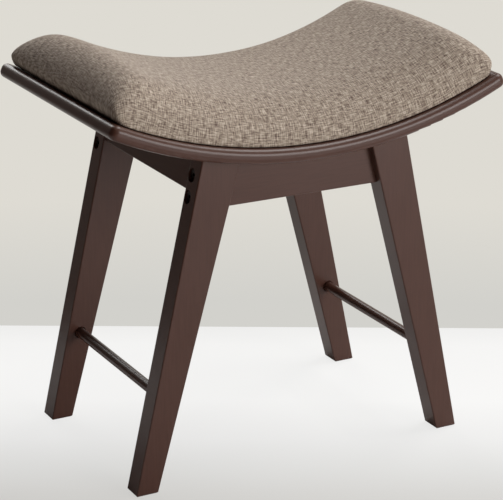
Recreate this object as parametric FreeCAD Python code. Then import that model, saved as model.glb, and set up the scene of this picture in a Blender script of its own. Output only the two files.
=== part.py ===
import FreeCAD, Part
import math
import os
from FreeCAD import Placement, Rotation, Vector

# Vanity stool: a saddle-shaped seat board on four splayed legs, with an upholstered pad on top.
# Millimetres. X runs along the stool, Y from front to back, Z up from the floor.
# The origin is on the floor, under the middle of the seat. Left and right are as seen from the front.

# Legs: both long edges lean inwards as they rise, so the leg widens towards the seat
LEG_FOOT_WIDTH = 26.0
LEG_THICKNESS = 25.0
LEG_OUTER_LEAN = 12.4       # degrees from upright
LEG_INNER_LEAN = 15.4       # degrees from upright
LEG_EDGE_RADIUS = 1.5
FOOT_EDGE_CHAMFER = 1.5

# Seat board: moulded plywood bent to one radius along its length
SEAT_HEIGHT = 355.0         # underside of the board at its lowest point
SEAT_CHORD = 472.0          # straight across the two ends, at half thickness
SEAT_DEPTH = 300.0
SEAT_THICKNESS = 16.0
SEAT_BEND_RADIUS = 550.0    # at half thickness
SEAT_CORNER_RADIUS = 8.0
SEAT_EDGE_RADIUS = 6.5

# Stance of the legs, measured outside to outside on the floor
FOOT_INSET_END = 31.0       # from the end of the seat board to the foot
FOOT_INSET_SIDE = 23.0      # from the side of the seat board to the foot
STANCE_LENGTH = SEAT_CHORD - 2 * FOOT_INSET_END
STANCE_DEPTH = SEAT_DEPTH - 2 * FOOT_INSET_SIDE

# Long aprons, set back from the front faces of the legs
LONG_APRON_HEIGHT = 46.0    # at the middle of the stool
APRON_THICKNESS = 16.0
APRON_SETBACK = 9.0
APRON_EDGE_RADIUS = 1.5

# End aprons, parallel to the outer faces of the legs
END_APRON_HEIGHT = 40.0     # along the lean of the legs
END_APRON_THICKNESS = 18.0
END_APRON_SETBACK = 1.5

# Round stretchers between the front and rear legs
STRETCHER_HEIGHT = 104.0
STRETCHER_DIAMETER = 12.0
TENON_DIAMETER = 9.0
TENON_LENGTH = 15.0
SOCKET_CHAMFER = 1.2

# Cleats that carry the seat board inside the end aprons
CLEAT_THICKNESS = 18.0
CLEAT_LENGTH = 180.0
CLEAT_LIFT = 12.0           # above the lower edge of the end apron

# Bolted joints between the long aprons and the legs
BOLT_DIAMETER = 6.0
BOLT_LENGTH = 65.0
BOLT_HEAD_DIAMETER = 13.0
BOLT_HEAD_HEIGHT = 3.5
BOLT_HEAD_CHAMFER = 0.7
BOLT_HEX = 4.0              # across flats
BOLT_HEX_DEPTH = 2.5
BOLT_EDGE_DISTANCE = 14.5   # lower bolt above the lower edge of the apron
BOLT_SPACING = 23.0
BOLT_HOLE_DIAMETER = 6.6
COUNTERBORE_DIAMETER = 14.5
COUNTERBORE_DEPTH = 6.0
NUT_DIAMETER = 10.0
NUT_LENGTH = 12.0
NUT_SLOT = 1.2
BOLT_PAST_NUT = 3.0         # from the nut's side to the bolt's tip

# Dowels between the end aprons and the legs
DOWEL_DIAMETER = 6.0
DOWEL_LENGTH = 28.0
DOWEL_EDGE_DISTANCE = 8.0
DOWEL_SPACING = 21.0

# Wood screws
SCREW_DIAMETER = 4.0
SCREW_HEAD_DIAMETER = 8.0
SCREW_HEAD_HEIGHT = 2.6
SCREW_TIP_LENGTH = 3.5
SCREW_TIP_DIAMETER = 0.8
SEAT_SCREW_BITE = 10.0      # depth in the seat board
SEAT_SCREW_SPACING = CLEAT_LENGTH / 2
CLEAT_SCREW_LENGTH = 30.0
CLEAT_SCREW_SPACING = 70.0
CLEAT_SCREW_COUNT = 3

# Glides pressed into the feet
GLIDE_DIAMETER = 16.0
GLIDE_THICKNESS = 3.0
GLIDE_PROUD = 0.5
GLIDE_PIN_DIAMETER = 3.0
GLIDE_PIN_LENGTH = 12.0

# Pad: thin bent plywood base, foam, and a fabric cover stapled under the base
PAD_INSET_END = 13.0        # from the end of the seat board to the foot of the pad
PAD_INSET_SIDE = 12.0       # from the side of the seat board to the foot of the pad
PAD_HEIGHT = 40.0           # at the edge of the top, halfway along
PAD_CROWN = 11.0            # rise of the top between front and back
PAD_END_RISE = 7.0          # extra height towards the ends
PAD_END_BULGE = 15.0
PAD_SIDE_BULGE = 5.0
PAD_WIDEST = 0.3            # share of the height at which the pad is widest
PAD_END_SHOULDER = 40.0
PAD_SIDE_SHOULDER = 46.0
PAD_FOOT_RADIUS = 8.0       # of the corners in plan, at the foot
PAD_CORNER_RADIUS = 14.0    # of the corners in plan, where the pad is widest
PAD_LIFT = 1.0              # shadow gap between the seat board and the cover
BASE_THICKNESS = 6.0
COVER_THICKNESS = 1.2
HEM_WIDTH = 24.0
PAD_STRETCH_STATIONS = 6    # sections of the pad from its middle to the shoulder
PAD_SHOULDER_ANGLES = (24.0, 44.0, 60.0, 73.0, 83.0)

# Fixings of the pad
PAD_BOLT_SPACING_X = 120.0  # along the bend
PAD_BOLT_SPACING_Y = 140.0
PAD_BOLT_HEAD_DIAMETER = 12.0
PAD_BOLT_HEAD_HEIGHT = 3.3
PAD_BOLT_HEAD_CHAMFER = 1.6
TEE_NUT_FLANGE_DIAMETER = 18.0
TEE_NUT_FLANGE_THICKNESS = 1.2
TEE_NUT_BARREL_DIAMETER = 8.0
STAPLE_WIDTH = 10.0
STAPLE_WIRE = 0.6
STAPLE_LEG = 5.0
STAPLE_PITCH = 48.0
STAPLE_EDGE_DISTANCE = 12.0
STAPLE_CORNER_DISTANCE = 30.0

# Clearances
CURVED_GAP = 0.3            # between curved faces, and around soft pieces
HOLE_GAP = 0.1              # on the radius, around pins, dowels, nuts and screws
END_GAP = 1.0               # past the end of a tenon in its hole
CUT_PAST = 1.0              # how far a hole's cutting form runs past the faces that it cuts

# Places that follow from the sizes above
BEND_CENTRE_Z = SEAT_HEIGHT + SEAT_THICKNESS / 2 + SEAT_BEND_RADIUS
TOP_RADIUS = SEAT_BEND_RADIUS - SEAT_THICKNESS / 2
UNDERSIDE_RADIUS = SEAT_BEND_RADIUS + SEAT_THICKNESS / 2
SEAT_HALF_ARC = SEAT_BEND_RADIUS * math.asin(SEAT_CHORD / 2 / SEAT_BEND_RADIUS)
OUTER_LEAN = math.radians(LEG_OUTER_LEAN)
INNER_LEAN = math.radians(LEG_INNER_LEAN)
LEG_INNER_Y = STANCE_DEPTH / 2 - LEG_THICKNESS
LONG_APRON_BOTTOM = SEAT_HEIGHT - LONG_APRON_HEIGHT
BOLT_HEIGHTS = (LONG_APRON_BOTTOM + BOLT_EDGE_DISTANCE,
                LONG_APRON_BOTTOM + BOLT_EDGE_DISTANCE + BOLT_SPACING)
CLEAT_OUTER_DEPTH = END_APRON_SETBACK + END_APRON_THICKNESS
CLEAT_INNER_DEPTH = CLEAT_OUTER_DEPTH + CLEAT_THICKNESS
CLEAT_MID_DEPTH = (CLEAT_OUTER_DEPTH + CLEAT_INNER_DEPTH) / 2
END_APRON_MID_DEPTH = END_APRON_SETBACK + END_APRON_THICKNESS / 2
BASE_LIFT = PAD_LIFT + COVER_THICKNESS
FOAM_LIFT = BASE_LIFT + BASE_THICKNESS + CURVED_GAP
PAD_HALF_ARC = SEAT_HALF_ARC - PAD_INSET_END
PAD_HALF_DEPTH = SEAT_DEPTH / 2 - PAD_INSET_SIDE

LEFT, RIGHT = -1, 1
FRONT, REAR = -1, 1
SIDES = {LEFT: "left", RIGHT: "right"}
ROWS = {FRONT: "front", REAR: "rear"}
ALONG_Y = Vector(0, 1, 0)


def polygon_prism(points, extrusion):
    """Solid from a closed flat outline, pushed along a vector."""
    wire = Part.makePolygon(points + [points[0]])
    return Part.Face(wire).extrude(extrusion)


def cylinder_between(start, end, diameter):
    """Round bar from one point to another."""
    axis = end - start
    return Part.makeCylinder(diameter / 2, axis.Length, start, axis)


def outer_x(height):
    """Distance of a leg's outer face from the middle, at a height."""
    return STANCE_LENGTH / 2 - height * math.tan(OUTER_LEAN)


def inner_x(height):
    """Distance of a leg's inner edge from the middle, at a height."""
    return STANCE_LENGTH / 2 - LEG_FOOT_WIDTH - height * math.tan(INNER_LEAN)


def underside_height(x):
    """Height of the seat board's underside, at a distance from the middle."""
    return BEND_CENTRE_Z - math.sqrt(UNDERSIDE_RADIUS ** 2 - x ** 2)


def lean_point(side, depth, rise, y=0.0):
    """Point at a depth inside a leg's outer face and a rise along it from the floor."""
    x = STANCE_LENGTH / 2 - rise * math.sin(OUTER_LEAN) - depth * math.cos(OUTER_LEAN)
    z = rise * math.cos(OUTER_LEAN) - depth * math.sin(OUTER_LEAN)
    return Vector(side * x, y, z)


def rise_to_seat(depth):
    """Rise along the lean at which a line at this depth meets the seat board's underside."""
    across = STANCE_LENGTH / 2 - depth * math.cos(OUTER_LEAN)
    down = BEND_CENTRE_Z + depth * math.sin(OUTER_LEAN)
    half = across * math.sin(OUTER_LEAN) + down * math.cos(OUTER_LEAN)
    rest = across ** 2 + down ** 2 - UNDERSIDE_RADIUS ** 2
    return half - math.sqrt(half ** 2 - rest)


def on_saddle(arc, y, lift):
    """Point at an arc length along the bend and a lift above the seat board's top face."""
    angle = arc / SEAT_BEND_RADIUS
    radius = TOP_RADIUS - lift
    return Vector(radius * math.sin(angle), y, BEND_CENTRE_Z - radius * math.cos(angle))


def saddle_placement(arc, y, lift):
    """Placement on the bend, with its own Z square to the seat board."""
    angle = math.degrees(arc / SEAT_BEND_RADIUS)
    return Placement(on_saddle(arc, y, lift), Rotation(ALONG_Y, -angle))


def saddle_lift(point):
    """Lift of a point above the seat board's top face."""
    return TOP_RADIUS - math.hypot(point.x, point.z - BEND_CENTRE_Z)


def saddle_slab(half_arc, half_depth, corner_radius, low, high):
    """Slab that follows the bend between two lifts, with rounded corners in plan."""
    arcs = (-half_arc, 0, half_arc)
    low_left, low_mid, low_right = [on_saddle(arc, -half_depth, low) for arc in arcs]
    high_left, high_mid, high_right = [on_saddle(arc, -half_depth, high) for arc in arcs]
    outline = Part.Wire([
        Part.Arc(low_left, low_mid, low_right).toShape(),
        Part.LineSegment(low_right, high_right).toShape(),
        Part.Arc(high_right, high_mid, high_left).toShape(),
        Part.LineSegment(high_left, low_left).toShape(),
    ])
    slab = Part.Face(outline).extrude(Vector(0, 2 * half_depth, 0))
    return slab.makeFillet(corner_radius, radial_edges(slab, high - low))


def radial_edges(slab, thickness):
    """Edges that run square to the bend through the thickness."""
    def lift_change(edge):
        return abs(saddle_lift(edge.Vertexes[0].Point) - saddle_lift(edge.Vertexes[-1].Point))
    return [edge for edge in slab.Edges if lift_change(edge) > thickness / 2]


def bend_cylinder(radius):
    """Everything within a radius of the bend's axis, over more than the seat board's depth."""
    return Part.makeCylinder(radius, 2 * SEAT_DEPTH, Vector(0, -SEAT_DEPTH, BEND_CENTRE_Z), ALONG_Y)


def seat_space():
    """Space over the legs and aprons that the seat board takes up."""
    return bend_cylinder(UNDERSIDE_RADIUS + CURVED_GAP)


def leg_front_y(row):
    """Front face of a front or rear leg."""
    return -STANCE_DEPTH / 2 if row == FRONT else LEG_INNER_Y


def long_apron_y(row):
    """Middle of a long apron's thickness, which is also the line of its bolts."""
    return leg_front_y(row) + APRON_SETBACK + APRON_THICKNESS / 2


def foot_centre(side, row):
    """Middle of a foot on the floor."""
    x = (outer_x(GLIDE_PROUD) + inner_x(GLIDE_PROUD)) / 2
    return Vector(side * x, row * (STANCE_DEPTH - LEG_THICKNESS) / 2, 0)


def stretcher_x():
    """Middle of the leg's width at the height of the stretcher."""
    return (outer_x(STRETCHER_HEIGHT) + inner_x(STRETCHER_HEIGHT)) / 2


def bolt_seat(side, row, height):
    """Point where the underside of an apron bolt's head rests in its counterbore."""
    return Vector(side * (outer_x(height) - COUNTERBORE_DEPTH), long_apron_y(row), height)


def nut_centre(side, row, height):
    """Middle of the barrel nut that an apron bolt screws into."""
    reach = BOLT_LENGTH - BOLT_PAST_NUT - NUT_DIAMETER / 2
    return bolt_seat(side, row, height) - Vector(side * reach, 0, 0)


def bolt_bore(side, row, height):
    """Hole for an apron bolt: clearance for its length and a counterbore for its head."""
    seat = bolt_seat(side, row, height)
    inward = Vector(-side, 0, 0)
    bore_end = seat + inward * (BOLT_LENGTH + BOLT_PAST_NUT)
    outside = seat - inward * (COUNTERBORE_DEPTH + LEG_FOOT_WIDTH)
    bore = cylinder_between(seat - inward, bore_end, BOLT_HOLE_DIAMETER)
    return bore.fuse(cylinder_between(seat, outside, COUNTERBORE_DIAMETER))


def dowel_rises():
    """Rises of the two dowels in each end of an end apron."""
    lowest = rise_to_seat(0) - END_APRON_HEIGHT + DOWEL_EDGE_DISTANCE
    return (lowest, lowest + DOWEL_SPACING)


def dowel_axis(side, row, rise):
    """Start and end of a dowel, half of it in the leg and half in the end apron."""
    start = lean_point(side, END_APRON_MID_DEPTH, rise, row * (LEG_INNER_Y - DOWEL_LENGTH / 2))
    return start, start + Vector(0, row * DOWEL_LENGTH, 0)


def leg(side, row):
    """Splayed, tapered leg, cut at the top to the bend of the seat board."""
    front = leg_front_y(row)
    top = underside_height(STANCE_LENGTH / 2)
    outline = [Vector(side * outer_x(GLIDE_PROUD), front, GLIDE_PROUD),
               Vector(side * outer_x(top), front, top),
               Vector(side * inner_x(top), front, top),
               Vector(side * inner_x(GLIDE_PROUD), front, GLIDE_PROUD)]
    solid = polygon_prism(outline, Vector(0, LEG_THICKNESS, 0)).cut(seat_space())
    foot_edges = [edge for edge in solid.Edges if edge.BoundBox.ZMax < GLIDE_PROUD + HOLE_GAP]
    solid = solid.makeChamfer(FOOT_EDGE_CHAMFER, foot_edges)
    long_edges = [edge for edge in solid.Edges if edge.BoundBox.ZLength > SEAT_HEIGHT / 2]
    solid = solid.makeFillet(LEG_EDGE_RADIUS, long_edges)
    for height in BOLT_HEIGHTS:
        solid = solid.cut(bolt_bore(side, row, height))
    for rise in dowel_rises():
        start, end = dowel_axis(side, row, rise)
        solid = solid.cut(cylinder_between(start, end, DOWEL_DIAMETER + 2 * HOLE_GAP))
    return solid.cut(stretcher_socket(side, row)).cut(glide_recess(side, row)).removeSplitter()


def stretcher_socket(side, row):
    """Blind hole for a stretcher's tenon, with a chamfered mouth."""
    mouth = Vector(side * stretcher_x(), row * LEG_INNER_Y, STRETCHER_HEIGHT)
    into_leg = Vector(0, row, 0)
    depth = TENON_LENGTH + END_GAP
    hole = cylinder_between(mouth - into_leg, mouth + into_leg * depth, TENON_DIAMETER + 2 * HOLE_GAP)
    rim = STRETCHER_DIAMETER / 2 + SOCKET_CHAMFER
    return hole.fuse(Part.makeCone(rim, rim - SOCKET_CHAMFER, SOCKET_CHAMFER, mouth, into_leg))


def glide_recess(side, row):
    """Recess and pin hole for a glide in the foot."""
    foot = foot_centre(side, row)
    recess = cylinder_between(foot, foot + Vector(0, 0, GLIDE_THICKNESS), GLIDE_DIAMETER + 2 * HOLE_GAP)
    pin_top = Vector(0, 0, GLIDE_THICKNESS + GLIDE_PIN_LENGTH)
    return recess.fuse(cylinder_between(foot, foot + pin_top, GLIDE_PIN_DIAMETER + 2 * HOLE_GAP))


def glide(side, row):
    """Nylon glide with a pin, standing proud of the foot."""
    foot = foot_centre(side, row)
    disc = cylinder_between(foot, foot + Vector(0, 0, GLIDE_THICKNESS), GLIDE_DIAMETER)
    pin_top = foot + Vector(0, 0, GLIDE_THICKNESS + GLIDE_PIN_LENGTH)
    pin_start = foot + Vector(0, 0, GLIDE_THICKNESS / 2)
    return disc.fuse(cylinder_between(pin_start, pin_top, GLIDE_PIN_DIAMETER))


def long_apron(row):
    """Front or rear apron, with ends cut to the legs' inner edges and its top to the bend."""
    low = LONG_APRON_BOTTOM
    high = underside_height(STANCE_LENGTH / 2)
    front = leg_front_y(row) + APRON_SETBACK
    outline = [Vector(-inner_x(low), front, low),
               Vector(inner_x(low), front, low),
               Vector(inner_x(high), front, high),
               Vector(-inner_x(high), front, high)]
    solid = polygon_prism(outline, Vector(0, APRON_THICKNESS, 0)).cut(seat_space())
    lower_edges = [edge for edge in solid.Edges
                   if edge.BoundBox.ZMax < low + HOLE_GAP and edge.BoundBox.XLength > LEG_THICKNESS]
    solid = solid.makeFillet(APRON_EDGE_RADIUS, lower_edges)
    for side in SIDES:
        for height in BOLT_HEIGHTS:
            solid = solid.cut(bolt_bore(side, row, height)).cut(nut_bore(side, row, height))
    return solid.removeSplitter()


def nut_bore(side, row, height):
    """Cross hole for a barrel nut, open on the apron's face inside the stool."""
    centre = nut_centre(side, row, height)
    far = centre + Vector(0, row * (NUT_LENGTH / 2 + HOLE_GAP), 0)
    inside_face = centre - Vector(0, row * APRON_THICKNESS, 0)
    return cylinder_between(far, inside_face, NUT_DIAMETER + 2 * HOLE_GAP)


def leaning_board(side, outer_depth, inner_depth, low_rise, half_length):
    """Board parallel to a leg's outer face, cut at the top to the bend of the seat board."""
    high_rise = rise_to_seat(0) + SEAT_THICKNESS
    outline = [lean_point(side, outer_depth, low_rise, -half_length),
               lean_point(side, outer_depth, high_rise, -half_length),
               lean_point(side, inner_depth, high_rise, -half_length),
               lean_point(side, inner_depth, low_rise, -half_length)]
    return polygon_prism(outline, Vector(0, 2 * half_length, 0)).cut(seat_space())


def end_apron(side):
    """Apron between the front and rear leg of one end."""
    low_rise = rise_to_seat(0) - END_APRON_HEIGHT
    inner_depth = END_APRON_SETBACK + END_APRON_THICKNESS
    solid = leaning_board(side, END_APRON_SETBACK, inner_depth, low_rise, LEG_INNER_Y)
    low_height = lean_point(side, END_APRON_SETBACK, low_rise).z
    lower_edges = [edge for edge in solid.Edges
                   if edge.BoundBox.YLength > LEG_INNER_Y and edge.BoundBox.ZMax < low_height + HOLE_GAP]
    solid = solid.makeFillet(APRON_EDGE_RADIUS, lower_edges)
    for row in ROWS:
        for rise in dowel_rises():
            start, end = dowel_axis(side, row, rise)
            solid = solid.cut(cylinder_between(start, end, DOWEL_DIAMETER + 2 * HOLE_GAP))
    for start, end in cleat_screw_axes(side):
        solid = solid.cut(cylinder_between(start, end, SCREW_DIAMETER + 2 * HOLE_GAP))
    return solid.removeSplitter()


def cleat_low_rise():
    """Rise of a cleat's lower edge."""
    return rise_to_seat(0) - END_APRON_HEIGHT + CLEAT_LIFT


def seat_cleat(side):
    """Batten inside an end apron that the seat board is screwed to."""
    solid = leaning_board(side, CLEAT_OUTER_DEPTH, CLEAT_INNER_DEPTH, cleat_low_rise(), CLEAT_LENGTH / 2)
    for start, end in cleat_screw_axes(side) + seat_screw_axes(side):
        solid = solid.cut(screw_hole(start, end))
    return solid


def cleat_screw_axes(side):
    """Start and end of each screw from a cleat into its end apron."""
    rise = (cleat_low_rise() + rise_to_seat(CLEAT_MID_DEPTH)) / 2
    offsets = [(i - (CLEAT_SCREW_COUNT - 1) / 2) * CLEAT_SCREW_SPACING for i in range(CLEAT_SCREW_COUNT)]
    return [(lean_point(side, CLEAT_INNER_DEPTH, rise, y),
             lean_point(side, CLEAT_INNER_DEPTH - CLEAT_SCREW_LENGTH, rise, y)) for y in offsets]


def seat_screw_axes(side):
    """Start and end of each screw from a cleat's lower edge up into the seat board."""
    end_rise = rise_to_seat(CLEAT_MID_DEPTH) + SEAT_SCREW_BITE
    return [(lean_point(side, CLEAT_MID_DEPTH, cleat_low_rise(), y),
             lean_point(side, CLEAT_MID_DEPTH, end_rise, y))
            for y in (-SEAT_SCREW_SPACING / 2, SEAT_SCREW_SPACING / 2)]


def screw_hole(start, end):
    """Hole for a wood screw, with its countersink."""
    axis = end - start
    bore = cylinder_between(start, end, SCREW_DIAMETER + 2 * HOLE_GAP)
    head_radius = SCREW_HEAD_DIAMETER / 2 + HOLE_GAP
    neck_radius = SCREW_DIAMETER / 2 + HOLE_GAP
    return bore.fuse(Part.makeCone(head_radius, neck_radius, SCREW_HEAD_HEIGHT, start, axis))


def wood_screw(start, end):
    """Countersunk wood screw, without its thread."""
    axis = end - start
    axis.normalize()
    tip_start = end - axis * SCREW_TIP_LENGTH
    head = Part.makeCone(SCREW_HEAD_DIAMETER / 2, SCREW_DIAMETER / 2, SCREW_HEAD_HEIGHT, start, axis)
    shank = cylinder_between(start + axis * SCREW_HEAD_HEIGHT, tip_start, SCREW_DIAMETER)
    tip = Part.makeCone(SCREW_DIAMETER / 2, SCREW_TIP_DIAMETER / 2, SCREW_TIP_LENGTH, tip_start, axis)
    return head.fuse(shank).fuse(tip).removeSplitter()


def stretcher(side):
    """Round stretcher with a tenon at each end."""
    def at(y):
        return Vector(side * stretcher_x(), y, STRETCHER_HEIGHT)
    bar = cylinder_between(at(-LEG_INNER_Y), at(LEG_INNER_Y), STRETCHER_DIAMETER)
    tenon_end = LEG_INNER_Y + TENON_LENGTH
    return bar.fuse(cylinder_between(at(-tenon_end), at(tenon_end), TENON_DIAMETER)).removeSplitter()


def apron_bolt(side, row, height):
    """Flat-headed bolt with a hexagon socket."""
    seat = bolt_seat(side, row, height)
    outward = Vector(side, 0, 0)
    head_top = seat + outward * BOLT_HEAD_HEIGHT
    head = cylinder_between(seat, head_top, BOLT_HEAD_DIAMETER)
    rim = [edge for edge in head.Edges if abs(edge.BoundBox.Center.x - head_top.x) < HOLE_GAP]
    head = head.makeChamfer(BOLT_HEAD_CHAMFER, rim)
    shank = cylinder_between(seat, seat - outward * BOLT_LENGTH, BOLT_DIAMETER)
    return head.fuse(shank).cut(hexagon_bar(head_top, -outward, BOLT_HEX_DEPTH)).removeSplitter()


def hexagon_bar(start, direction, length):
    """Hexagon bar along X, for a socket."""
    to_corner = BOLT_HEX / math.sqrt(3)
    turns = [math.radians(degrees) for degrees in range(0, 360, 60)]
    corners = [start + Vector(0, to_corner * math.cos(turn), to_corner * math.sin(turn)) for turn in turns]
    return polygon_prism(corners, direction * length)


def barrel_nut(side, row, height):
    """Cross-drilled barrel nut with a screwdriver slot in the face that shows."""
    centre = nut_centre(side, row, height)
    half = Vector(0, row * NUT_LENGTH / 2, 0)
    barrel = cylinder_between(centre - half, centre + half, NUT_DIAMETER)
    reach = Vector(NUT_DIAMETER, 0, 0)
    barrel = barrel.cut(cylinder_between(centre - reach, centre + reach, BOLT_DIAMETER + 2 * HOLE_GAP))
    slot = Part.makeBox(2 * NUT_DIAMETER, 2 * NUT_SLOT, NUT_SLOT,
                        centre - half - Vector(NUT_DIAMETER, NUT_SLOT, NUT_SLOT / 2))
    return barrel.cut(slot)


def seat_board():
    """Bent board with rounded corners and a bullnosed edge all round."""
    board = saddle_slab(SEAT_HALF_ARC, SEAT_DEPTH / 2, SEAT_CORNER_RADIUS, -SEAT_THICKNESS, 0)
    through = radial_edges(board, SEAT_THICKNESS)
    rim = [edge for edge in board.Edges if not any(edge.isSame(other) for other in through)]
    board = board.makeFillet(SEAT_EDGE_RADIUS, rim)
    for place in pad_bolt_places(-SEAT_THICKNESS):
        board = board.cut(placed_cylinder(place, BOLT_HOLE_DIAMETER, -CUT_PAST, SEAT_THICKNESS + CUT_PAST))
    for side in SIDES:
        for start, end in seat_screw_axes(side):
            board = board.cut(cylinder_between(start, end, SCREW_DIAMETER + 2 * HOLE_GAP))
    return board


def pad_bolt_places(lift):
    """Placements of the four bolts that hold the pad, at a lift."""
    return [saddle_placement(x * PAD_BOLT_SPACING_X / 2, y * PAD_BOLT_SPACING_Y / 2, lift)
            for x in SIDES for y in ROWS]


def placed_cylinder(place, diameter, low, high):
    """Cylinder between two heights along a placement's own Z."""
    cylinder = Part.makeCylinder(diameter / 2, high - low, Vector(0, 0, low))
    cylinder.Placement = place
    return cylinder


def pad_bolt(place):
    """Bolt from under the seat board up into a tee nut, with a bevelled head."""
    under_head = Vector(0, 0, -PAD_BOLT_HEAD_HEIGHT)
    head = Part.makeCylinder(PAD_BOLT_HEAD_DIAMETER / 2, PAD_BOLT_HEAD_HEIGHT, under_head)
    rim = [edge for edge in head.Edges if edge.BoundBox.ZMax < -PAD_BOLT_HEAD_HEIGHT / 2]
    head = head.makeChamfer(PAD_BOLT_HEAD_CHAMFER, rim)
    length = SEAT_THICKNESS + BASE_LIFT + BASE_THICKNESS
    bolt = head.fuse(Part.makeCylinder(BOLT_DIAMETER / 2, length)).removeSplitter()
    bolt.Placement = place
    return bolt


def tee_nut(place):
    """Tee nut: a threaded barrel in the pad's base, under a flange on top of it."""
    lowest = Vector(0, 0, -BASE_THICKNESS)
    barrel = Part.makeCylinder(TEE_NUT_BARREL_DIAMETER / 2, BASE_THICKNESS, lowest)
    flange = Part.makeCylinder(TEE_NUT_FLANGE_DIAMETER / 2, TEE_NUT_FLANGE_THICKNESS)
    bore = Part.makeCylinder(BOLT_DIAMETER / 2 + HOLE_GAP, 2 * BASE_THICKNESS, lowest)
    nut = barrel.fuse(flange).cut(bore)
    nut.Placement = place
    return nut


def pad_base():
    """Thin bent board under the foam, drilled for the tee nuts and cut for the staples."""
    edge_gap = COVER_THICKNESS + CURVED_GAP
    base = saddle_slab(PAD_HALF_ARC - edge_gap, PAD_HALF_DEPTH - edge_gap,
                       PAD_FOOT_RADIUS - edge_gap, BASE_LIFT, BASE_LIFT + BASE_THICKNESS)
    hole_diameter = TEE_NUT_BARREL_DIAMETER + 2 * HOLE_GAP
    for place in pad_bolt_places(BASE_LIFT):
        base = base.cut(placed_cylinder(place, hole_diameter, -CUT_PAST, BASE_THICKNESS + CUT_PAST))
    return base.cut(Part.makeCompound(staples()))


def pad_height(arc, y):
    """Height of the pad's top above the seat board, before its shoulders are rounded."""
    along = arc / PAD_HALF_ARC
    across = y / PAD_HALF_DEPTH
    return PAD_HEIGHT + PAD_END_RISE * along ** 2 + PAD_CROWN * (1 - across ** 2)


def pad_half_depth(arc, level, skin):
    """Half depth of the pad's rounded outline at an arc.

    level is 0 at the pad's foot and 1 where it is widest, and skin draws the outline in.
    """
    bulge = math.sin(level * math.pi / 2)
    corner = PAD_FOOT_RADIUS + (PAD_CORNER_RADIUS - PAD_FOOT_RADIUS) * level
    radius = corner - skin
    corner_start = PAD_HALF_ARC + PAD_END_BULGE * bulge - corner
    past = min(radius, max(0.0, abs(arc) - corner_start))
    return PAD_HALF_DEPTH + PAD_SIDE_BULGE * bulge - corner + math.sqrt(radius ** 2 - past ** 2)


def pad_section(arc, shoulder_share, skin):
    """Closed section of the pad square to the bend, which starts level with the seat board.

    shoulder_share is 1 where the top is at full height, and falls to 0 at the very end.
    skin draws the whole section in.
    """
    past_foot = max(0.0, abs(arc) + skin - PAD_HALF_ARC)
    low_level = 2 / math.pi * math.asin(min(1.0, past_foot / PAD_END_BULGE))
    mid_level = (low_level + 1) / 2
    widest = PAD_WIDEST * pad_height(arc, PAD_HALF_DEPTH)
    low_y = pad_half_depth(arc, low_level, skin)
    mid_y = pad_half_depth(arc, mid_level, skin)
    wide_y = pad_half_depth(arc, 1.0, skin)
    shoulder = PAD_SIDE_SHOULDER - skin
    slant = math.sqrt(0.5)
    slant_y = wide_y - shoulder * (1 - slant)
    top_y = wide_y - shoulder

    def wall(y, level):
        return on_saddle(arc, y, level * widest)

    def top(y, share):
        full_rise = pad_height(arc, y) - skin - widest
        return on_saddle(arc, y, widest + full_rise * share * shoulder_share)

    return Part.Wire([
        Part.LineSegment(wall(-low_y, low_level), wall(low_y, low_level)).toShape(),
        Part.Arc(wall(low_y, low_level), wall(mid_y, mid_level), wall(wide_y, 1)).toShape(),
        Part.Arc(wall(wide_y, 1), top(slant_y, slant), top(top_y, 1)).toShape(),
        Part.Arc(top(top_y, 1), top(0, 1), top(-top_y, 1)).toShape(),
        Part.Arc(top(-top_y, 1), top(-slant_y, slant), wall(-wide_y, 1)).toShape(),
        Part.Arc(wall(-wide_y, 1), wall(-mid_y, mid_level), wall(-low_y, low_level)).toShape(),
    ])


def pad_stations(skin):
    """Arc lengths and shoulder shares of the pad's sections, from the middle to one end."""
    shoulder = PAD_END_SHOULDER - skin
    shoulder_start = PAD_HALF_ARC + PAD_END_BULGE - PAD_END_SHOULDER
    stations = [(shoulder_start * i / PAD_STRETCH_STATIONS, 1.0) for i in range(PAD_STRETCH_STATIONS + 1)]
    for degrees in PAD_SHOULDER_ANGLES:
        angle = math.radians(degrees)
        stations.append((shoulder_start + shoulder * math.sin(angle), math.cos(angle)))
    return stations


def pad_form(skin, floor):
    """Crowned saddle form of the pad, drawn in by a skin thickness and cut to the bend at a floor."""
    half = pad_stations(skin)
    stations = [(-arc, share) for arc, share in reversed(half[1:])] + half
    loft = Part.makeLoft([pad_section(arc, share, skin) for arc, share in stations], True, True)
    return loft.common(bend_cylinder(TOP_RADIUS - floor))


def pad_foam():
    """Foam on the base, hollowed over the flanges of the tee nuts."""
    foam = pad_form(COVER_THICKNESS + CURVED_GAP, FOAM_LIFT)
    for place in pad_bolt_places(BASE_LIFT + BASE_THICKNESS):
        foam = foam.cut(placed_cylinder(place, TEE_NUT_FLANGE_DIAMETER + 2 * CURVED_GAP, 0,
                                        TEE_NUT_FLANGE_THICKNESS + CURVED_GAP))
    return foam


def pad_cover():
    """Fabric cover: a skin over the foam, turned in under the base and open below."""
    opening = saddle_slab(PAD_HALF_ARC - HEM_WIDTH, PAD_HALF_DEPTH - HEM_WIDTH,
                          PAD_FOOT_RADIUS, 0, BASE_LIFT + BASE_THICKNESS)
    skin = pad_form(0, PAD_LIFT).cut(pad_form(COVER_THICKNESS, BASE_LIFT))
    return skin.cut(opening).cut(Part.makeCompound(staples()))


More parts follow.
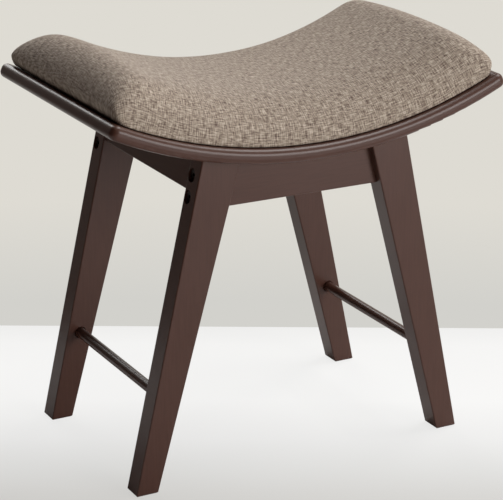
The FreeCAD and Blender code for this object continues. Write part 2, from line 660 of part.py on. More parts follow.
def staple(place):
    """Wire staple with its crown under the hem and its legs up in the base."""
    corner = Vector(-STAPLE_WIDTH / 2, -STAPLE_WIRE / 2, -STAPLE_WIRE)
    crown = Part.makeBox(STAPLE_WIDTH, STAPLE_WIRE, STAPLE_WIRE, corner)
    for x in (-STAPLE_WIDTH / 2, STAPLE_WIDTH / 2 - STAPLE_WIRE):
        leg_corner = Vector(x, -STAPLE_WIRE / 2, 0)
        crown = crown.fuse(Part.makeBox(STAPLE_WIRE, STAPLE_WIRE, STAPLE_LEG, leg_corner))
    wire = crown.removeSplitter()
    wire.Placement = place
    return wire


def spread(half_length):
    """Evenly spaced positions either side of the middle, about a staple pitch apart."""
    count = max(1, round(half_length / STAPLE_PITCH))
    return [half_length * i / count for i in range(-count, count + 1)]


def staples():
    """Staples all round the hem."""
    side_arc = PAD_HALF_ARC - STAPLE_CORNER_DISTANCE
    side_y = PAD_HALF_DEPTH - STAPLE_EDGE_DISTANCE
    end_y = PAD_HALF_DEPTH - STAPLE_CORNER_DISTANCE
    end_arc = PAD_HALF_ARC - STAPLE_EDGE_DISTANCE
    quarter_turn = Placement(Vector(0, 0, 0), Rotation(Vector(0, 0, 1), 90))
    along = [staple(saddle_placement(arc, row * side_y, PAD_LIFT))
             for row in ROWS for arc in spread(side_arc)]
    across = [staple(saddle_placement(side * end_arc, y, PAD_LIFT).multiply(quarter_turn))
              for side in SIDES for y in spread(end_y)]
    return along + across


def frame_pieces():
    """Wooden frame: legs, aprons, stretchers and cleats, with the glides in the feet."""
    pieces = {}
    for row in ROWS:
        pieces[ROWS[row] + "_apron"] = long_apron(row)
        for side in SIDES:
            corner = ROWS[row] + "_" + SIDES[side]
            pieces[corner + "_leg"] = leg(side, row)
            pieces[corner + "_glide"] = glide(side, row)
    for side in SIDES:
        pieces[SIDES[side] + "_end_apron"] = end_apron(side)
        pieces[SIDES[side] + "_stretcher"] = stretcher(side)
        pieces[SIDES[side] + "_seat_cleat"] = seat_cleat(side)
    return pieces


def frame_fixings():
    """Bolts, nuts, dowels and screws of the frame, each kind as a group of separate solids."""
    joints = [(side, row, height) for side in SIDES for row in ROWS for height in BOLT_HEIGHTS]
    dowels = [cylinder_between(*dowel_axis(side, row, rise), DOWEL_DIAMETER)
              for side in SIDES for row in ROWS for rise in dowel_rises()]
    cleat_screws = [wood_screw(*axis) for side in SIDES for axis in cleat_screw_axes(side)]
    seat_screws = [wood_screw(*axis) for side in SIDES for axis in seat_screw_axes(side)]
    return {
        "apron_bolts": Part.makeCompound([apron_bolt(*joint) for joint in joints]),
        "barrel_nuts": Part.makeCompound([barrel_nut(*joint) for joint in joints]),
        "end_apron_dowels": Part.makeCompound(dowels),
        "cleat_screws": Part.makeCompound(cleat_screws),
        "seat_screws": Part.makeCompound(seat_screws),
    }


def seat_pieces():
    """Seat board, pad and the pad's fixings."""
    pad_bolts = [pad_bolt(place) for place in pad_bolt_places(-SEAT_THICKNESS)]
    tee_nuts = [tee_nut(place) for place in pad_bolt_places(BASE_LIFT + BASE_THICKNESS)]
    return {
        "seat_board": seat_board(),
        "pad_base": pad_base(),
        "pad_foam": pad_foam(),
        "pad_cover": pad_cover(),
        "cover_staples": Part.makeCompound(staples()),
        "pad_bolts": Part.makeCompound(pad_bolts),
        "pad_tee_nuts": Part.makeCompound(tee_nuts),
    }


os.makedirs("parts", exist_ok=True)
for pieces in (frame_pieces(), frame_fixings(), seat_pieces()):
    for name, shape in pieces.items():
        shape.exportStep("parts/" + name + ".step")
        print(name, len(shape.Solids), "solids", "valid" if shape.isValid() else "NOT VALID",
              round(shape.Volume), "mm3")
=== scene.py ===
import logging
import math
from dataclasses import dataclass
from enum import Enum

import bmesh
import bpy
from mathutils import Matrix, Vector


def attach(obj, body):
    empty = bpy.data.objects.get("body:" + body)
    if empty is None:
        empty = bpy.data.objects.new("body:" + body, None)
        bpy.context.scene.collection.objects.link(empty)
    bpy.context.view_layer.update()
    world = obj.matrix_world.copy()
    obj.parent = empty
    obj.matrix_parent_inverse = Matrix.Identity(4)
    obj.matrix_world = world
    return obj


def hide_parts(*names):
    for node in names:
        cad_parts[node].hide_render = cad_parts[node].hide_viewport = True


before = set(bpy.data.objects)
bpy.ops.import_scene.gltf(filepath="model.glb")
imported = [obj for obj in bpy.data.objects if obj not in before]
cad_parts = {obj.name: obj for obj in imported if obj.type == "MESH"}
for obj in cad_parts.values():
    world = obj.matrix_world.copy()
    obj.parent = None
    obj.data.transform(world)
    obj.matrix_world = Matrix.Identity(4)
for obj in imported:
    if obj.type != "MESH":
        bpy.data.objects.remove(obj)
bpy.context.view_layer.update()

LOG = logging.getLogger("vanity_stool")
MILLIMETRE = 0.001
SAME = 1e-6
BODY = "root"
MIX_COLOUR_A, MIX_COLOUR_B, MIX_COLOUR_RESULT = 6, 7, 2


# Small helpers for colours and nodes


def srgb(code: str) -> tuple[float, float, float, float]:
    """Turn an sRGB hex colour into Blender's linear colour.

    Args:
        code: Six hex digits, such as "503E36".

    Returns:
        Linear red, green, blue and an alpha of 1.
    """
    channels = [int(code[i:i + 2], 16) / 255 for i in (0, 2, 4)]
    linear = [c / 12.92 if c <= 0.04045 else ((c + 0.055) / 1.055) ** 2.4 for c in channels]
    return (linear[0], linear[1], linear[2], 1.0)


def add_node(tree: bpy.types.NodeTree, kind: str, inputs: dict | None = None,
             **settings) -> bpy.types.Node:
    """Add a shader node with its settings, input values and links.

    Args:
        tree: Node tree that gets the node.
        kind: Blender's type name of the node.
        inputs: Input name or number to a plain value, or to an output socket that is linked to it.
        **settings: The node's own properties.

    Returns:
        The new node.
    """
    node = tree.nodes.new(kind)
    for name, value in settings.items():
        setattr(node, name, value)
    for name, value in (inputs or {}).items():
        if isinstance(value, bpy.types.NodeSocket):
            tree.links.new(value, node.inputs[name])
        else:
            node.inputs[name].default_value = value
    return node


def new_material(name: str) -> tuple[bpy.types.Material, bpy.types.NodeTree]:
    """Make an empty node material.

    Args:
        name: Name of the material.

    Returns:
        The material and its cleared node tree.
    """
    material = bpy.data.materials.new(name)
    material.use_nodes = True
    material.node_tree.nodes.clear()
    return material, material.node_tree


def set_ramp(ramp: bpy.types.Node, stops: list[tuple[float, tuple[float, float, float, float]]]) -> None:
    """Set the stops of a colour ramp.

    Args:
        ramp: Colour ramp node.
        stops: Position and colour of each stop, in order.
    """
    elements = ramp.color_ramp.elements
    while len(elements) < len(stops):
        elements.new(1.0)
    for element, (position, colour) in zip(elements, stops):
        element.position = position
        element.color = colour


# Finishes


class Grain(Enum):
    """Direction of the wood's grain, as the pattern's stretch along X, Y and Z."""

    ALONG_X = (0.05, 1.0, 1.0)
    ALONG_Y = (1.0, 0.05, 1.0)
    ALONG_Z = (1.0, 1.0, 0.05)


@dataclass(frozen=True)
class WoodFigure:
    """Noise drawn out along the grain, for pores and growth rings.

    Its width is that of one streak in millimetres, and its stops say where the darkest and the lightest
    tone begin.
    """

    width_mm: float
    detail: float
    roughness: float
    stops: tuple[float, float]

    def streaks(self, tree: bpy.types.NodeTree, grain: Grain) -> bpy.types.NodeSocket:
        """Add the streaks.

        Args:
            tree: Node tree that gets them.
            grain: Direction that they run in.

        Returns:
            Their strength, from 0 to 1.
        """
        place = add_node(tree, "ShaderNodeTexCoord")
        stretch = add_node(tree, "ShaderNodeMapping", {
            "Vector": place.outputs["Object"], "Scale": grain.value})
        streaks = add_node(tree, "ShaderNodeTexNoise", {
            "Vector": stretch.outputs["Vector"], "Scale": 1 / (self.width_mm * MILLIMETRE),
            "Detail": self.detail, "Roughness": self.roughness})
        return streaks.outputs["Fac"]

    def tint(self, tree: bpy.types.NodeTree, streaks: bpy.types.NodeSocket, dark: str,
             light: str) -> bpy.types.NodeSocket:
        """Colour the streaks.

        Args:
            tree: Node tree that gets the colour ramp.
            streaks: Strength of the streaks.
            dark: sRGB hex colour of the weakest.
            light: sRGB hex colour of the strongest.

        Returns:
            The colour.
        """
        ramp = add_node(tree, "ShaderNodeValToRGB", {"Fac": streaks})
        set_ramp(ramp, list(zip(self.stops, (srgb(dark), srgb(light)))))
        return ramp.outputs["Color"]


@dataclass(frozen=True)
class Relief:
    """Bump of a surface: how much of it shows, and its depth in millimetres."""

    strength: float
    depth_mm: float

    def normal(self, tree: bpy.types.NodeTree, height: bpy.types.NodeSocket) -> bpy.types.NodeSocket:
        """Add the bump for a height and return its normal."""
        bump = add_node(tree, "ShaderNodeBump", {
            "Height": height, "Strength": self.strength, "Distance": self.depth_mm * MILLIMETRE})
        return bump.outputs["Normal"]


@dataclass(frozen=True)
class Mottle:
    """Fine even noise on Object coordinates, with so many grains to the metre."""

    grains: float
    detail: float = 2.0

    def value(self, tree: bpy.types.NodeTree) -> bpy.types.NodeSocket:
        """Add the noise and return its strength."""
        place = add_node(tree, "ShaderNodeTexCoord")
        noise = add_node(tree, "ShaderNodeTexNoise", {
            "Vector": place.outputs["Object"], "Scale": self.grains, "Detail": self.detail})
        return noise.outputs["Fac"]

    def spread(self, tree: bpy.types.NodeTree, low: float, high: float) -> bpy.types.NodeSocket:
        """Add the noise and return it spread between two values."""
        spread = add_node(tree, "ShaderNodeMapRange", {
            "Value": self.value(tree), "To Min": low, "To Max": high})
        return spread.outputs["Result"]


def close_material(material: bpy.types.Material, **inputs) -> bpy.types.Material:
    """Add the surface shader and the output to a material.

    Args:
        material: Material whose pattern nodes are in place.
        **inputs: Inputs of the shader, with an underscore for each space in their names.

    Returns:
        The material.
    """
    named = {name.replace("_", " "): value for name, value in inputs.items()}
    shader = add_node(material.node_tree, "ShaderNodeBsdfPrincipled", named)
    add_node(material.node_tree, "ShaderNodeOutputMaterial", {"Surface": shader.outputs["BSDF"]})
    return material


@dataclass(frozen=True)
class SatinPaintedWood:
    """Solid beech or moulded plywood under sprayed brown satin lacquer.

    The lacquer gives an even dark brown with a soft sheen, and the pores show through as faint streaks.
    """

    grain: Grain
    colour: str = "4D3229"
    pore_colour: str = "482E25"
    pores: WoodFigure = WoodFigure(width_mm=1.6, detail=4.0, roughness=0.6, stops=(0.36, 0.62))
    haze: Mottle = Mottle(grains=14.0, detail=3.0)
    glossiest: float = 0.27
    dullest: float = 0.36
    relief: Relief = Relief(strength=0.08, depth_mm=0.1)
    ior: float = 1.38

    def material(self) -> bpy.types.Material:
        """Build the material, with its grain in Object coordinates."""
        material, tree = new_material("satin_lacquered_beech_" + self.grain.name.lower())
        pores = self.pores.streaks(tree, self.grain)
        return close_material(
            material, Base_Color=self.pores.tint(tree, pores, self.pore_colour, self.colour),
            Roughness=self.haze.spread(tree, self.glossiest, self.dullest), IOR=self.ior,
            Normal=self.relief.normal(tree, pores))


@dataclass(frozen=True)
class BareBirch:
    """Unpainted sawn birch and birch plywood: pale yellow wood with fine darker streaks."""

    grain: Grain = Grain.ALONG_Y
    light: str = "D2B48C"
    dark: str = "AE8B5F"
    rings: WoodFigure = WoodFigure(width_mm=3.0, detail=5.0, roughness=0.65, stops=(0.35, 0.65))
    roughness: float = 0.65
    relief: Relief = Relief(strength=0.3, depth_mm=0.2)

    def material(self) -> bpy.types.Material:
        """Build the material, with its grain in Object coordinates."""
        material, tree = new_material("sawn_birch")
        rings = self.rings.streaks(tree, self.grain)
        return close_material(
            material, Base_Color=self.rings.tint(tree, rings, self.dark, self.light),
            Roughness=self.roughness, Normal=self.relief.normal(tree, rings))


@dataclass(frozen=True)
class PlatedSteel:
    """Steel fixings with an electroplated skin: bright zinc, or a dark bronze on the bolts that show.

    Plating gives a metal sheen broken up by fine tumbling marks.
    """

    name: str
    colour: str
    glossiest: float
    dullest: float
    marks: Mottle = Mottle(grains=900.0)

    def material(self) -> bpy.types.Material:
        """Build the material, with its marks in Object coordinates."""
        material, tree = new_material(self.name)
        return close_material(
            material, Base_Color=srgb(self.colour), Metallic=1.0,
            Roughness=self.marks.spread(tree, self.glossiest, self.dullest))


@dataclass(frozen=True)
class MouldedNylon:
    """Injection-moulded brown nylon glides: a dull plastic with a fine spark texture."""

    colour: str = "3A2C27"
    roughness: float = 0.5
    spark: Mottle = Mottle(grains=2500.0)
    relief: Relief = Relief(strength=0.3, depth_mm=0.05)

    def material(self) -> bpy.types.Material:
        """Build the material, with its texture in Object coordinates."""
        material, tree = new_material("moulded_nylon")
        return close_material(
            material, Base_Color=srgb(self.colour), Roughness=self.roughness,
            Normal=self.relief.normal(tree, self.spark.value(tree)))


@dataclass(frozen=True)
class HeatherLinen:
    """Plain-woven heather linen for upholstery, in taupe.

    Uneven yarns dyed light and dark give short streaks both ways, and the weave has a dry, matt face.
    The yarns are drawn about twice as coarse as real ones, because finer ones wouldn't show. A slub is
    the length over which a yarn keeps its tone.
    """

    light: str = "CBBFAF"
    middle: str = "9B8E7F"
    dark: str = "5C4A43"
    stops: tuple[float, float, float] = (0.375, 0.5, 0.625)
    yarn_mm: float = 1.1
    slub_mm: float = 9.0
    weft_shift: float = 31.7
    detail: float = 2.0
    unevenness: float = 0.6
    relief: Relief = Relief(strength=0.5, depth_mm=1.2)
    roughness: float = 0.9
    specular: float = 0.25
    sheen: float = 0.12
    sheen_roughness: float = 0.5

    def yarns(self, tree: bpy.types.NodeTree, cloth: bpy.types.NodeSocket,
              scale: tuple[float, float, float], shift: float) -> bpy.types.NodeSocket:
        """Add the yarns that run one way.

        Args:
            tree: Node tree that gets them.
            cloth: Place on the flat cloth, in metres.
            scale: Streaks to the metre along the warp, along the weft, and 1.
            shift: Where in the noise they begin, so that warp and weft differ.

        Returns:
            Tone of the yarns, from 0 to 1.
        """
        lay = add_node(tree, "ShaderNodeMapping", {
            "Vector": cloth, "Scale": scale, "Location": (shift, shift, 0.0)})
        yarns = add_node(tree, "ShaderNodeTexNoise", {
            "Vector": lay.outputs["Vector"], "Scale": 1.0, "Detail": self.detail,
            "Roughness": self.unevenness})
        return yarns.outputs["Fac"]

    def material(self) -> bpy.types.Material:
        """Build the material.

        Returns:
            The woven cloth, which follows the UV map named weave, in metres along the cloth.
        """
        material, tree = new_material("heather_linen_weave")
        cloth = add_node(tree, "ShaderNodeUVMap", uv_map="weave").outputs["UV"]
        across, along = 1 / (self.yarn_mm * MILLIMETRE), 1 / (self.slub_mm * MILLIMETRE)
        both = add_node(tree, "ShaderNodeMath", {
            0: self.yarns(tree, cloth, (across, along, 1.0), 0.0),
            1: self.yarns(tree, cloth, (along, across, 1.0), self.weft_shift)}, operation="ADD")
        heather = add_node(tree, "ShaderNodeMath", {
            0: both.outputs["Value"], 1: 1 / 2}, operation="MULTIPLY")
        tint = add_node(tree, "ShaderNodeValToRGB", {"Fac": heather.outputs["Value"]})
        tones = [srgb(code) for code in (self.dark, self.middle, self.light)]
        set_ramp(tint, list(zip(self.stops, tones)))
        return close_material(
            material, Base_Color=tint.outputs["Color"], Roughness=self.roughness,
            Specular_IOR_Level=self.specular, Sheen_Weight=self.sheen, Sheen_Roughness=self.sheen_roughness,
            Normal=self.relief.normal(tree, heather.outputs["Value"]))


# The stool's sub-assemblies


def dress(names: list[str], material: bpy.types.Material) -> None:
    """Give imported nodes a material.

    Args:
        names: Names of the nodes.
        material: Material for every slot of each node.
    """
    for name in names:
        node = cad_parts[name]
        node.data.materials.clear()
        node.data.materials.append(material)
        LOG.info("dressed %s in %s", name, material.name)


@dataclass
class WoodenFrame:
    """Legs, aprons, stretchers, cleats and glides of the stool."""

    rows: tuple[str, ...] = ("front", "rear")
    sides: tuple[str, ...] = ("left", "right")

    def dress(self) -> None:
        """Give each piece the paint whose grain runs along it."""
        corners = [row + "_" + side for row in self.rows for side in self.sides]
        dress([corner + "_leg" for corner in corners], SatinPaintedWood(Grain.ALONG_Z).material())
        dress([row + "_apron" for row in self.rows] + ["seat_board"],
              SatinPaintedWood(Grain.ALONG_X).material())
        dress([side + piece for side in self.sides for piece in ("_end_apron", "_stretcher")],
              SatinPaintedWood(Grain.ALONG_Y).material())
        dress([side + "_seat_cleat" for side in self.sides] + ["end_apron_dowels", "pad_base"],
              BareBirch().material())
        dress([corner + "_glide" for corner in corners], MouldedNylon().material())


@dataclass
class Fixings:
    """Bolts, nuts, screws and staples of the stool."""

    zinc: PlatedSteel = PlatedSteel("bright_zinc_plated_steel", "B9BABD", glossiest=0.30, dullest=0.48)
    bronze: PlatedSteel = PlatedSteel("dark_bronze_plated_steel", "2A211D", glossiest=0.37, dullest=0.55)

    def dress(self) -> None:
        """Give the bolts that show their dark plating, and the rest bright zinc."""
        dress(["apron_bolts"], self.bronze.material())
        dress(["barrel_nuts", "cleat_screws", "seat_screws", "cover_staples", "pad_bolts", "pad_tee_nuts"],
              self.zinc.material())


@dataclass
class SaddlePad:
    """Upholstered pad: a crowned saddle form in tight cloth, lying on the bent seat board.

    Arc is measured along the seat board's bend, depth from front to back, and lift square to the
    board above its top face. All sizes are in metres. The first five belong to the seat board, and the
    pad's foot keeps inset_end and inset_side from its edge, less foot_spread. From there its walls bulge
    out to their widest line, and its top rolls over to them on the shoulders. The form is smaller by
    draw_in, because the cloth swells. The cloth keeps still up to held_lift above the foot.
    """

    bend_radius: float = 0.550
    board_thickness: float = 0.016
    seat_height: float = 0.355
    seat_chord: float = 0.472
    seat_depth: float = 0.300
    inset_end: float = 0.013
    inset_side: float = 0.012
    height: float = 0.040
    crown: float = 0.011
    end_rise: float = 0.007
    end_bulge: float = 0.017
    side_bulge: float = 0.005
    widest_share: float = 0.24
    end_shoulder: float = 0.040
    side_shoulder: float = 0.046
    foot_radius: float = 0.008
    corner_radius: float = 0.014
    lift: float = 0.0011
    draw_in: float = 0.0015
    foot_spread: float = 0.003
    held_lift: float = 0.0025
    pressure: float = 4.0
    tightness: float = 0.9
    swell_cap: float = 0.003
    swell_steps: int = 20
    even_steps: int = 14
    top_cuts: int = 59
    wall_cuts: int = 6
    shoulder_start: float = 0.7

    @property
    def half_arc(self) -> float:
        """Half the pad's foot along the bend."""
        return self.bend_radius * math.asin(self.seat_chord / 2 / self.bend_radius) - self.inset_end

    @property
    def half_depth(self) -> float:
        """Half the pad's foot from front to back."""
        return self.seat_depth / 2 - self.inset_side

    @property
    def top_radius(self) -> float:
        """Radius of the seat board's top face."""
        return self.bend_radius - self.board_thickness / 2

    @property
    def bend_centre(self) -> float:
        """Height of the bend's axis over the floor."""
        return self.seat_height + self.board_thickness / 2 + self.bend_radius

    def on_saddle(self, arc: float, depth: float, lift: float) -> Vector:
        """Turn arc, depth and lift into a point of the frame."""
        angle = arc / self.bend_radius
        radius = self.top_radius - lift
        return Vector((radius * math.sin(angle), depth, self.bend_centre - radius * math.cos(angle)))

    def off_saddle(self, point: Vector) -> tuple[float, float, float]:
        """Turn a point of the frame into arc, depth and lift."""
        down = self.bend_centre - point.z
        arc = self.bend_radius * math.atan2(point.x, down)
        return (arc, point.y, self.top_radius - math.hypot(point.x, down))

    def top_lift(self, arc: float, depth: float) -> float:
        """Lift of the pad's top before its shoulders are rounded."""
        along, across = arc / self.half_arc, depth / self.half_depth
        return self.height + self.end_rise * along ** 2 + self.crown * (1 - min(1.0, across ** 2))

    def shoulder(self, share: float, half: float, width: float) -> tuple[float, float]:
        """Place a share of the way from the middle to the edge on the top's shoulder profile.

        Args:
            share: 0 at the middle and 1 at the edge.
            half: Distance from the middle to the edge.
            width: Width of the shoulder.

        Returns:
            Distance from the middle, and the share of the full height that is left there.
        """
        if share <= self.shoulder_start:
            return share / self.shoulder_start * (half - width), 1.0
        angle = (share - self.shoulder_start) / (1 - self.shoulder_start) * math.pi / 2
        return half - width + width * math.sin(angle), math.cos(angle)

    def rounded(self, arc: float, depth: float, half_arc: float, half_depth: float,
                radius: float) -> tuple[float, float]:
        """Pull a point near a square corner onto the rounded outline.

        Args:
            arc: Distance from the middle along the bend.
            depth: Distance from the middle across it.
            half_arc: Half length of the square outline.
            half_depth: Half depth of the square outline.
            radius: Radius of the outline's corner.

        Returns:
            The arc and depth after rounding.
        """
        past_arc = arc - (half_arc - radius)
        past_depth = depth - (half_depth - radius)
        if min(past_arc, past_depth) <= 0:
            return arc, depth
        pull = max(past_arc, past_depth) / math.hypot(past_arc, past_depth)
        return arc - past_arc * (1 - pull), depth - past_depth * (1 - pull)

    def place(self, cube_point: Vector) -> Vector:
        """Move a point of the unit cube's surface onto the pad.

        Args:
            cube_point: Point with each coordinate from -1 to 1.

        Returns:
            The point's place on the pad, in the frame.
        """
        a, b = abs(cube_point.x), abs(cube_point.y)
        level = (cube_point.z + 1) / 2
        bulge = math.sin(level * math.pi / 2)
        spread = self.foot_spread * (1 - bulge)
        half_arc = self.half_arc + spread + (self.end_bulge - self.draw_in) * bulge
        half_depth = self.half_depth + spread + (self.side_bulge - self.draw_in) * bulge
        arc, end_share = self.shoulder(a, half_arc, self.end_shoulder)
        depth, side_share = self.shoulder(b, half_depth, self.side_shoulder)
        radius = self.foot_radius + (self.corner_radius - self.foot_radius) * level
        arc, depth = self.rounded(arc, depth, half_arc, half_depth, radius)
        widest = self.widest_share * self.top_lift(arc, self.half_depth)
        lift = self.lift + (widest - self.lift) * level
        if math.isclose(level, 1.0, abs_tol=SAME):
            lift = widest + (self.top_lift(arc, depth) - self.draw_in - widest) * end_share * side_share
        return self.on_saddle(math.copysign(arc, cube_point.x), math.copysign(depth, cube_point.y), lift)

    def rough_form(self) -> bpy.types.Object:
        """Shape a subdivided cube into the pad, with fewer rows up its walls than across its top.

        Returns:
            The closed pad before its cloth is tightened.
        """
        form = bmesh.new()
        bmesh.ops.create_cube(form, size=2.0)
        upright = [edge for edge in form.edges if edge.verts[0].co.z != edge.verts[1].co.z]
        bmesh.ops.subdivide_edges(form, edges=upright, cuts=self.wall_cuts, use_grid_fill=True)
        level = [edge for edge in form.edges if edge.verts[0].co.z == edge.verts[1].co.z]
        bmesh.ops.subdivide_edges(form, edges=level, cuts=self.top_cuts, use_grid_fill=True)
        for vertex in form.verts:
            vertex.co = self.place(vertex.co)
        bmesh.ops.recalc_face_normals(form, faces=form.faces[:])
        mesh = bpy.data.meshes.new("upholstered_pad")
        form.to_mesh(mesh)
        form.free()
        pad = bpy.data.objects.new("upholstered_pad", mesh)
        bpy.context.scene.collection.objects.link(pad)
        return pad

    def apply_modifiers(self, pad: bpy.types.Object) -> None:
        """Bake what the modifiers make into the pad's own mesh."""
        shown = pad.evaluated_get(bpy.context.evaluated_depsgraph_get())
        mesh = bpy.data.meshes.new_from_object(shown)
        pad.modifiers.clear()
        pad.data = mesh

    def tighten(self, pad: bpy.types.Object) -> None:
        """Blow the cover out against its own cloth, as the foam does, within a small cap.

        Args:
            pad: The closed pad.
        """
        start = [vertex.co.copy() for vertex in pad.data.vertices]
        held_below = self.lift + self.held_lift
        foot = {i for i, point in enumerate(start) if self.off_saddle(point)[2] < held_below}
        held = pad.vertex_groups.new(name="held")
        held.add(list(foot), 1.0, "REPLACE")
        cloth = pad.modifiers.new("cover", "CLOTH")
        cloth.settings.use_pressure = True
        cloth.settings.uniform_pressure_force = self.pressure
        cloth.settings.vertex_group_mass = held.name
        cloth.settings.effector_weights.gravity = 0.0
        cloth.point_cache.frame_start = 1
        cloth.point_cache.frame_end = self.swell_steps
        scene = bpy.context.scene
        for frame_number in range(1, self.swell_steps + 1):
            scene.frame_set(frame_number)
        self.apply_modifiers(pad)
        scene.frame_set(1)
        pad.vertex_groups.clear()
        moves = [vertex.co - origin for vertex, origin in zip(pad.data.vertices, start)]
        moves = [move * min(1.0, self.swell_cap / max(move.length, self.swell_cap)) for move in moves]
        for vertex, origin, move in zip(pad.data.vertices, start, self.evened(pad, moves, foot)):
            vertex.co = origin + move

    def evened(self, pad: bpy.types.Object, moves: list[Vector], foot: set[int]) -> list[Vector]:
        """Average each vertex's move with its neighbours', so that the tight cover has no ripple.

        Args:
            pad: The pad.
            moves: How far the cloth moved each vertex.
            foot: Vertices that stay where they were.

        Returns:
            The evened moves.
        """
        ring = [[] for _ in moves]
        for edge in pad.data.edges:
            first, second = edge.vertices
            ring[first].append(second)
            ring[second].append(first)
        for _ in range(self.even_steps):
            moves = [Vector() if i in foot else sum((moves[j] for j in near), move) / (len(near) + 1)
                     for i, (move, near) in enumerate(zip(moves, ring))]
        return moves

    def settle(self, pad: bpy.types.Object) -> None:
        """Keep the pad off the seat board.

        Args:
            pad: The pad after its last change of shape.
        """
        for vertex in pad.data.vertices:
            arc, depth, lift = self.off_saddle(vertex.co)
            if lift < self.lift:
                vertex.co = self.on_saddle(arc, depth, self.lift)

    def cloth_lay(self, point: Vector) -> tuple[float, float]:
        """Place of a point on the flat cloth, in metres from the middle of the pad.

        Args:
            point: Point of the pad.

        Returns:
            Distance along the warp and along the weft.
        """
        arc, depth, lift = self.off_saddle(point)
        flat_arc = self.half_arc + self.end_bulge - self.end_shoulder
        flat_depth = self.half_depth + self.side_bulge - self.side_shoulder
        drop = max(0.0, self.top_lift(arc, depth) - lift)
        past = (max(0.0, abs(arc) - flat_arc), max(0.0, abs(depth) - flat_depth))
        out = math.hypot(*past)
        stretch = math.hypot(out, drop) / out if out > 0 else 1.0
        return (math.copysign(min(abs(arc), flat_arc) + past[0] * stretch, arc),
                math.copysign(min(abs(depth), flat_depth) + past[1] * stretch, depth))

    def lay_cloth(self, pad: bpy.types.Object) -> None:
        """Write the UV map that the weave follows.

        Args:
            pad: The finished pad.
        """
        weave = pad.data.uv_layers.new(name="weave")
        spots = [self.cloth_lay(vertex.co) for vertex in pad.data.vertices]
        for loop in pad.data.loops:
            weave.data[loop.index].uv = spots[loop.vertex_index]

    def build(self) -> bpy.types.Object:
        """Make the pad, tighten its cover and dress it.

        Returns:
            The pad, riding on the stool.
        """
        pad = self.rough_form()
        self.tighten(pad)
        smooth = pad.modifiers.new("smooth", "SUBSURF")
        smooth.levels = smooth.render_levels = 1
        self.apply_modifiers(pad)
        self.settle(pad)
        self.lay_cloth(pad)
        for face in pad.data.polygons:
            face.use_smooth = True
        pad.data.materials.clear()
        pad.data.materials.append(HeatherLinen().material())
        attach(pad, BODY)
        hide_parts("pad_cover", "pad_foam")
        LOG.info("built %s with %d faces", pad.name, len(pad.data.polygons))
        return pad


# Camera, floor, backdrop and light


@dataclass(frozen=True)
class PhotographCamera:
    """Camera that stands where the photograph was taken from. Pixels count from the top left."""

    azimuth: float = -28.58
    elevation: float = 19.23
    roll: float = 0.33
    distance: float = 2.28647
    target_height: float = 0.20906
    focal_px: float = 2014.24
    axis_px: tuple[float, float] = (249.39, 250.37)
    frame_px: tuple[float, float] = (503.0, 500.0)
    sensor_mm: float = 36.0

    def build(self) -> bpy.types.Object:
        """Make the camera and put it in the scene.

        Returns:
            The camera.
        """
        turn, rise, roll = (math.radians(x) for x in (self.azimuth, self.elevation, self.roll))
        back = Vector((math.sin(turn) * math.cos(rise), -math.cos(turn) * math.cos(rise), math.sin(rise)))
        level = (-back).cross(Vector((0, 0, 1))).normalized()
        upright = level.cross(-back)
        right = level * math.cos(roll) + upright * math.sin(roll)
        up = upright * math.cos(roll) - level * math.sin(roll)
        data = bpy.data.cameras.new("photograph_camera")
        data.sensor_width = self.sensor_mm
        data.lens = self.focal_px * self.sensor_mm / self.frame_px[0]
        data.shift_x = (self.frame_px[0] / 2 - self.axis_px[0]) / self.frame_px[0]
        data.shift_y = (self.axis_px[1] - self.frame_px[1] / 2) / self.frame_px[0]
        camera = bpy.data.objects.new("photograph_camera", data)
        bpy.context.scene.collection.objects.link(camera)
        place = Matrix((right, up, back)).transposed().to_4x4()
        place.translation = Vector((0, 0, self.target_height)) + back * self.distance
        camera.matrix_world = place
        bpy.context.scene.camera = camera
        return camera


@dataclass(frozen=True)
class SoftBox:
    """Square studio lamp that faces the stool from a direction, at a level of 1 for full light."""

    name: str
    azimuth: float
    elevation: float
    level: float
    size: float
    distance: float = 3.0
    aim_height: float = 0.3

    def build(self) -> bpy.types.Object:
        """Hang the lamp.

        Returns:
            The lamp, strong enough that a face square to it at a level of 1 renders in its own colour.
        """
        turn, rise = math.radians(self.azimuth), math.radians(self.elevation)
        toward = Vector((math.sin(turn) * math.cos(rise), -math.cos(turn) * math.cos(rise), math.sin(rise)))
        data = bpy.data.lights.new(self.name, "AREA")
        data.energy = self.level * (math.pi * self.distance) ** 2
        data.size = self.size
        lamp = bpy.data.objects.new(self.name, data)
        lamp.location = Vector((0, 0, self.aim_height)) + toward * self.distance
        lamp.rotation_euler = toward.to_track_quat("Z", "Y").to_euler()
        bpy.context.scene.collection.objects.link(lamp)
        return lamp


